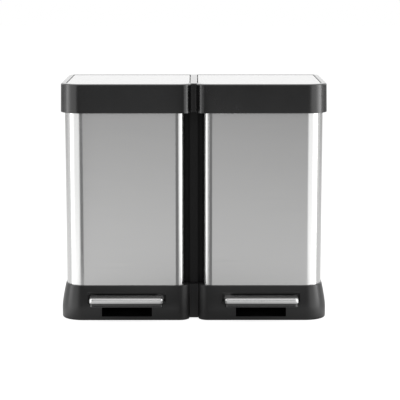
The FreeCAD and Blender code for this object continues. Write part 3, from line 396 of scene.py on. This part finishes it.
def build_collar():
    """Black moulding over both shells, its edges softened on top and round each well."""
    mesh = bmesh.new()
    outer = [(1.0, COLLAR_LOW), (0.25, COLLAR_LOW + 0.25), (0.0, COLLAR_LOW + 1.0)]
    levels = []
    for inset, height in outer + quarter(0.0, TOP, COLLAR_ROUND, 8):
        draft = LEAN_TOP - LEAN * (TOP - height) / (TOP - COLLAR_LOW)
        levels.append((plan(lobes(inset + draft, COLLAR_VALLEY, inset)), height))
    low, high = stack(mesh, levels)
    inside_plan = plan(lobes(COLLAR_WALL, COLLAR_VALLEY, COLLAR_WALL))
    inner_low, inner_high = stack(mesh, [(inside_plan, COLLAR_LOW), (inside_plan, LEDGE_LOW)])
    cap(mesh, [low, inner_low], False)
    top_loops = [high]
    under_loops = [inner_high]
    well = (WELL_CORNER, WELL_CORNER, WELL_REAR_CORNER, WELL_REAR_CORNER)
    for side, sign in SIDES:
        steps = []
        for a in (0, 22.5, 45, 67.5, 90):
            turn = math.radians(a)
            edge = rectangle(WELL, -SOFT_EDGE * (1 - math.sin(turn)), well)
            steps.append((handed(plan(edge), sign), TOP - SOFT_EDGE * (1 - math.cos(turn))))
        steps.append((handed(plan(rectangle(WELL, 0.0, well)), sign), LEDGE_TOP))
        first, ledge_outer = stack(mesh, steps)
        top_loops.append(first)
        bay = handed(plan(rectangle(BAY, 0.0, (BAY_CORNER,) * 4)), sign)
        upper, lower = stack(mesh, [(bay, LEDGE_TOP), (bay, LEDGE_LOW)])
        cam = handed(plan(rectangle(CAM_SLOT)), sign)
        cam_upper, cam_lower = stack(mesh, [(cam, LEDGE_TOP), (cam, LEDGE_LOW)])
        cap(mesh, [ledge_outer, upper, cam_upper], True)
        ends = []
        for inset in SHELL_GROOVE:
            groove = handed(plan(rectangle(SHELL, inset, SHELL_RADII)), sign)
            ends.append(stack(mesh, [(groove, LEDGE_LOW), (groove, COLLAR_LOW)]))
        (out_high, out_low), (in_high, in_low) = ends
        cap(mesh, [out_low, in_low], False)
        cap(mesh, [in_high, lower, cam_lower], False)
        under_loops.append(out_high)
    cap(mesh, top_loops, True)
    cap(mesh, under_loops, False)
    place(finish_mesh(mesh, "collar"), "root", "top_collar", BLACK)


def flare_at(height):
    """The base's inset at a height, on a smooth curve through its sections."""
    last = len(FLARE) - 2
    i = 0
    while i < last and height > FLARE[i + 1][0]:
        i += 1
    (h0, v0), (h1, v1) = FLARE[i], FLARE[i + 1]
    before = FLARE[max(i - 1, 0)]
    after = FLARE[min(i + 2, last + 1)]
    slope0 = (v1 - before[1]) / (h1 - before[0])
    slope1 = (after[1] - v0) / (after[0] - h0)
    if (v1 - v0) * (v0 - before[1]) <= 0:
        slope0 = 0.0
    if (v1 - v0) * (after[1] - v1) <= 0:
        slope1 = 0.0
    if i == 0:
        slope0 = 2 * (v1 - v0) / (h1 - h0) - slope1
    if i == last:
        slope1 = 2 * (v1 - v0) / (h1 - h0) - slope0
    w = h1 - h0
    t = (height - h0) / w
    return ((2 * t**3 - 3 * t**2 + 1) * v0 + (t**3 - 2 * t**2 + t) * w * slope0
            + (3 * t**2 - 2 * t**3) * v1 + (t**3 - t**2) * w * slope1)


def with_stations(points):
    """Add the pedal openings' edges to the front runs of an outline."""
    result = []
    for i, p in enumerate(points):
        q = points[(i + 1) % len(points)]
        result.append(p)
        if abs(p.y - q.y) < 1e-3 and p.y < FRONT_LIMIT and abs(p.x - q.x) > LONG_RUN:
            sign = 1 if q.x > p.x else -1
            cuts = sorted((s * v for s in (1, -1) for v in STATIONS), key=lambda x: x * sign)
            result += [Vector((x, p.y)) for x in cuts if min(p.x, q.x) < x < max(p.x, q.x)]
    return result


def inside(verts, box):
    """Whether a front face of the base lies in an opening."""
    xs, ys, zs = zip(*((abs(v.co.x) / MM, v.co.y / MM, v.co.z / MM) for v in verts))
    return (max(ys) < FRONT_LIMIT and min(xs) > box[0] - 0.01 and max(xs) < box[1] + 0.01
            and min(zs) > box[2] - 0.01 and max(zs) < box[3] + 0.01)


def line_openings(mesh, sign):
    """The walls of one side's recess and of the lever slot in it."""
    def pane(*corners):
        mesh.faces.new([mesh.verts.new((x * sign * MM, y * MM, z * MM)) for x, y, z in corners])

    def face_y(height):
        return FRONT + flare_at(height) - PROUD

    x0, x1, z0, z1, back = RECESS
    s0, s1, t0, t1, deep = SLOT
    for a, b in ((x0, s0), (s0, s1), (s1, x1)):
        pane((a, face_y(z1), z1), (b, face_y(z1), z1), (b, back, z1), (a, back, z1))
        if (a, b) != (s0, s1):
            pane((a, face_y(z0), z0), (b, face_y(z0), z0), (b, back, z0), (a, back, z0))
            pane((a, back, z0), (b, back, z0), (b, back, t1), (a, back, t1))
        pane((a, back, t1), (b, back, t1), (b, back, z1), (a, back, z1))
    for x, low, top in ((x0, z0, z1), (x1, z0, z1), (s0, t0, z0), (s1, t0, z0)):
        rows = [h for h in BASE_HEIGHTS if low <= h <= top]
        for a, b in zip(rows, rows[1:]):
            pane((x, face_y(a), a), (x, face_y(b), b), (x, back, b), (x, back, a))
        if x in (s0, s1):
            pane((x, back, t0), (x, back, z0), (x, deep, z0), (x, deep, t0))
            pane((x, back, z0), (x, back, t1), (x, deep, t1), (x, deep, z0))
    pane((s0, face_y(t0), t0), (s1, face_y(t0), t0), (s1, back, t0), (s0, back, t0))
    pane((s0, back, t0), (s1, back, t0), (s1, deep, t0), (s0, deep, t0))
    pane((s0, back, t1), (s1, back, t1), (s1, deep, t1), (s0, deep, t1))


def build_base():
    """Flared black moulding with a recess and a lever slot for each pedal."""
    mesh = bmesh.new()
    sections = [(flare_at(h) - PROUD, h) for h in BASE_HEIGHTS]
    sections += quarter(flare_at(BASE_TOP) - PROUD, BASE_TOP, SOFT_EDGE, 4)[1:]
    levels = [(with_stations(plan(lobes(inset, VALLEY))), h) for inset, h in sections]
    low, high = stack(mesh, levels, lambda *v: inside(v, RECESS) or inside(v, SLOT))
    floor = VALLEY_FLOOR + WALL
    valley = VALLEY + WALL + MOUTH / 2
    half, front, rear = HALF + PROUD - WALL, FRONT - PROUD + WALL, REAR + PROUD - WALL
    cavity = [(-half, front, CAVITY_CORNER), (-valley, front, 0), (-valley, floor, 0),
              (valley, floor, 0), (valley, front, 0), (half, front, CAVITY_CORNER),
              (half, rear, CAVITY_REAR_CORNER), (-half, rear, CAVITY_REAR_CORNER)]
    inner = with_stations(plan(cavity))
    rows = (BASE_HEIGHTS[0], SLOT[2], RECESS[2], SLOT[3], DECK_LOW)
    in_low, in_high = stack(mesh, [(inner, h) for h in rows], lambda *v: inside(v, SLOT))
    cap(mesh, [low, in_low], False)
    tops = [high]
    under = [in_high]
    for side, sign in SIDES:
        seat = handed(plan(rectangle(SHELL, -SEAT_ROOM, SHELL_RADII)), sign)
        seat_high, seat_low = stack(mesh, [(seat, BASE_TOP), (seat, DECK_TOP)])
        tops.append(seat_high)
        hole = circle(PEDAL_X * sign, ROD_Y, ROD_HOLE)
        hole_up, hole_down = stack(mesh, [(hole, DECK_TOP), (hole, DECK_LOW)])
        cap(mesh, [seat_low, hole_up], True)
        under.append(hole_down)
    cap(mesh, tops, True)
    cap(mesh, under, False)
    for side, sign in SIDES:
        line_openings(mesh, sign)
    place(finish_mesh(mesh, "flared_base"), "root", "base", BASE_BLACK)


def open_plan(inset):
    """The folded sheet's path, from its edge in the valley round to its edge at the rear middle."""
    points = plan(rectangle(SHELL, inset, SHELL_RADII), 3.0)
    x0, x1, y0, y1 = SHELL
    return [Vector((x0 + inset, y0 + SHELL_RETURN))] + points[:-1] + [Vector((x0, y1 - inset))]


def lid_outline(inset):
    """One lid's outline up to its hinge axis."""
    gap = LID_GAP + inset
    front = WELL_CORNER - gap
    return [(WELL[0] + gap, WELL[2] + gap, front), (WELL[1] - gap, WELL[2] + gap, front),
            (WELL[1] - gap, HINGE_Y, 0), (WELL[0] + gap, HINGE_Y, 0)]


def pedal_outline(inset):
    """One pedal's outline; its rear edge is straight."""
    half, front, corner = PEDAL_HALF - inset, PEDAL_FRONT + inset, PEDAL_CORNER - inset
    return [(PEDAL_X - half, front, corner), (PEDAL_X + half, front, corner),
            (PEDAL_X + half, PEDAL_REAR, 0), (PEDAL_X - half, PEDAL_REAR, 0)]


def levels_of(outline, sections, sign):
    """The levels of one side's piece, from its outline at each inset."""
    return [(handed(plan(outline(inset)), sign), height) for inset, height in sections]


def build_shells():
    """Folded brushed steel round each bin."""
    for side, sign in SIDES:
        mesh = bmesh.new()
        path = handed(open_plan(0.0) + open_plan(SHEET)[::-1], sign)
        low, high = stack(mesh, [(path, SHELL_LOW), (path, SHELL_HIGH)])
        cap(mesh, [low], False)
        cap(mesh, [high], True)
        place(finish_mesh(mesh, f"{side}_shell_sheet"), "root", f"{side}_steel_shell",
              SHELL_STEEL)


def build_lids():
    """Steel skins with a rolled edge."""
    outer = [(0.0, LID_LOW)] + quarter(0.0, TOP, LID_ROUND, 6)
    inner = [(LID_SHEET, LID_LOW), (LID_SHEET, TOP - LID_SHEET)]
    for side, sign in SIDES:
        mesh = hood(levels_of(lid_outline, outer, sign), levels_of(lid_outline, inner, sign))
        place(finish_mesh(mesh, f"{side}_lid_sheet"), f"{side}_lid", f"{side}_lid_skin",
              LID_STEEL)


def build_pedals():
    """Steel treads with a turned-down lip, each over its black body."""
    outer = TREAD_LIP + quarter(0.0, PEDAL_TOP, PEDAL_ROUND, 8)
    for side, sign in SIDES:
        mesh = hood(levels_of(pedal_outline, outer, sign),
                    levels_of(pedal_outline, TREAD_INSIDE, sign))
        place(finish_mesh(mesh, f"{side}_pedal_tread"), f"{side}_pedal", f"{side}_pedal_cover",
              PEDAL_STEEL)
        pocket = handed(plan(rectangle(POCKET)), sign)
        mesh = hood(levels_of(pedal_outline, PEDAL_BODY, sign),
                    [(pocket, POCKET_LOW), (pocket, POCKET_TOP)])
        place(finish_mesh(mesh, f"{side}_pedal_body"), f"{side}_pedal", f"{side}_pedal_core",
              BLACK)


build_collar()
build_base()
build_shells()
build_lids()
build_pedals()


# ---- studio -------------------------------------------------------------------------------------

FLOOR_HALF, PANEL_TOP, FLAG_TOP, FLAG_GLOW = 14.0, 1.6, 0.6, 0.25
FLOOR_TINT, FLOOR_SEEN_TINT, FLOOR_SEEN_GLOW, FLOOR_SIDE_GLOW = 0.8, 0.36, 0.88, 1.9
SOFT_WORLD = 0.44


def bare(owner):
    """An owner's node tree, emptied."""
    owner.use_nodes = True
    owner.node_tree.nodes.clear()
    return owner.node_tree


def mixed(tree, share, first, other):
    """A shader that gives way to another by a share."""
    node = tree.nodes.new("ShaderNodeMixShader")
    for socket, value in zip(node.inputs, (share, first, other)):
        tree.links.new(value, socket)
    return node.outputs["Shader"]


def glowing(tree, strength):
    """An emission shader of a strength, given as a socket or a float."""
    node = tree.nodes.new("ShaderNodeEmission")
    if isinstance(strength, float):
        node.inputs["Strength"].default_value = strength
    else:
        tree.links.new(strength, node.inputs["Strength"])
    return node.outputs["Emission"]


def matt(tree, level):
    """A grey diffuse shader."""
    node = tree.nodes.new("ShaderNodeBsdfDiffuse")
    node.inputs["Color"].default_value = (level, level, level, 1)
    return node.outputs["BSDF"]


def sheet(name, corners):
    """A flat four-cornered thing of the studio, with its own material's empty tree."""
    data = bpy.data.meshes.new(name)
    data.from_pydata(corners, [], [(0, 1, 2, 3)])
    thing = bpy.data.objects.new(name, data)
    bpy.context.scene.collection.objects.link(thing)
    made = bpy.data.materials.new(name)
    data.materials.append(made)
    return thing, bare(made)


def card(name, corners, strength, diffuse=True):
    """A light panel that the camera doesn't see, plain or of a strength mapped along Y."""
    thing, tree = sheet(name, corners)
    out = tree.nodes.new("ShaderNodeOutputMaterial")
    if isinstance(strength, tuple):
        strength = spread(tree, axes(tree)["Y"], *strength)
    tree.links.new(glowing(tree, strength), out.inputs["Surface"])
    thing.visible_camera = False
    thing.visible_shadow = False
    thing.visible_diffuse = diffuse


def upright(x0, y0, x1, y1, top):
    """The corners of a card that stands on the floor from one spot to another."""
    return [(x0, y0, 0.0), (x1, y1, 0.0), (x1, y1, top), (x0, y0, top)]


def build_floor():
    """White floor: the camera sees it white with the object's soft shadow; metal and other
    reflections see it glowing with painted light, with a painted shadow round the object.
    """
    f = FLOOR_HALF
    floor, tree = sheet("floor", [(-f, -f, 0), (f, -f, 0), (f, f, 0), (-f, f, 0)])
    out = tree.nodes.new("ShaderNodeOutputMaterial")
    path = tree.nodes.new("ShaderNodeLightPath")
    seen = tree.nodes.new("ShaderNodeAddShader")
    tree.links.new(matt(tree, FLOOR_SEEN_TINT), seen.inputs[0])
    tree.links.new(glowing(tree, FLOOR_SEEN_GLOW), seen.inputs[1])
    plain = mixed(tree, path.outputs["Is Camera Ray"], matt(tree, FLOOR_TINT),
                  seen.outputs["Shader"])

    where = tree.nodes.new("ShaderNodeTexCoord")
    length = tree.nodes.new("ShaderNodeVectorMath")
    length.operation = "LENGTH"
    tree.links.new(where.outputs["Object"], length.inputs[0])
    away = length.outputs["Value"]
    place_of = axes(tree)
    # Painted light and shade that only reflections see: the glow is brightest near the bins and
    # fades with distance, a little dimmer towards +X, with a painted shadow in a dark core right
    # round the bins and a bright painted pool out to each side in front of them.
    fall = spread(tree, away, 1.07, 0.26, 0.3, 7.0, True)
    near = spread(tree, away, 0.36, 1.0, 0.2, 0.55)
    across = spread(tree, place_of["X"], 1.0, 0.88, -0.3, 0.5)
    level = maths(tree, "MULTIPLY", maths(tree, "MULTIPLY", fall, near), across)

    sideways = maths(tree, "SUBTRACT", maths(tree, "ABSOLUTE", place_of["X"]), 0.27)
    ahead = maths(tree, "MULTIPLY", maths(tree, "ADD", place_of["Y"], 0.1), -1.0)
    sector = maths(tree, "SUBTRACT", sideways, maths(tree, "MULTIPLY", ahead, 0.5))
    share = maths(tree, "MULTIPLY", spread(tree, sector, 0.0, 1.0, 0.0, 0.12, True),
                  spread(tree, ahead, 0.0, 1.0, -0.1, 0.05, True))
    mirror = glowing(tree, chosen(tree, share, level, FLOOR_SIDE_GLOW))
    final = mixed(tree, path.outputs["Is Glossy Ray"], plain, mirror)
    tree.links.new(final, out.inputs["Surface"])


def build_world():
    """White for the camera, shaded for reflections and soft for light on matt things."""
    world = bpy.data.worlds.new("studio")
    bpy.context.scene.world = world
    tree = bare(world)
    out = tree.nodes.new("ShaderNodeOutputWorld")
    path = tree.nodes.new("ShaderNodeLightPath")

    def light(strength):
        node = tree.nodes.new("ShaderNodeBackground")
        node.inputs["Color"].default_value = (1, 1, 1, 1)
        if isinstance(strength, float):
            node.inputs["Strength"].default_value = strength
        else:
            tree.links.new(strength, node.inputs["Strength"])
        return node.outputs["Background"]

    way = axes(tree, "Generated")
    ahead = spread(tree, way["Y"], 0.10, 1.2, -0.95, -0.3, True)
    above = spread(tree, way["Z"], 0.0, 1.0, 0.17, 0.36)
    unseen = mixed(tree, path.outputs["Is Glossy Ray"], light(SOFT_WORLD),
                   light(maths(tree, "MAXIMUM", ahead, above)))
    clear = maths(tree, "MAXIMUM", path.outputs["Is Camera Ray"],
                  path.outputs["Is Transmission Ray"])
    tree.links.new(mixed(tree, clear, unseen, light(1.0)), out.inputs["Surface"])


build_floor()
build_world()
for side, sign, glow in (("left", -1, (1.25, 4.2, -0.6, -0.15)),
                         ("right", 1, (1.4, 6.2, -0.65, -0.15))):
    card(f"{side}_panel", upright(0.75 * sign, -1.0, 1.6 * sign, -0.12, PANEL_TOP), glow)
    card(f"{side}_rear_panel", upright(1.6 * sign, -0.12, 1.6 * sign, 0.45, PANEL_TOP),
         (1.6, 1.0, -0.12, 0.03), False)
# The left flag is a dim panel that the left shell's corners reflect. The middle flag is a dark
# sheet that only reflections see, put in front of the valley as painted shade on the front column,
# the collar's valley, the base's valley and the bins' inner corners.
for label, x0, x1, y in (("left", -0.415, -0.290, -0.416), ("middle", -0.033, 0.033, -0.19)):
    card(f"{label}_flag", upright(x0, y, x1, y, FLAG_TOP), FLAG_GLOW, False)
card("top_panel", [(-1.2, -1.0, 2.4), (1.2, -1.0, 2.4), (1.2, 1.0, 2.4), (-1.2, 1.0, 2.4)], 1.4)

camera_data = bpy.data.cameras.new("camera")
camera_data.lens = 139.4
camera_data.sensor_width = 36.0
camera = bpy.data.objects.new("camera", camera_data)
bpy.context.scene.collection.objects.link(camera)
camera.location = (0.0033, -3.511, 0.8139)
camera.rotation_euler = (math.radians(90 - 9.06), 0, math.radians(-0.174))
bpy.context.scene.camera = camera
bpy.context.scene.view_settings.view_transform = "Standard"
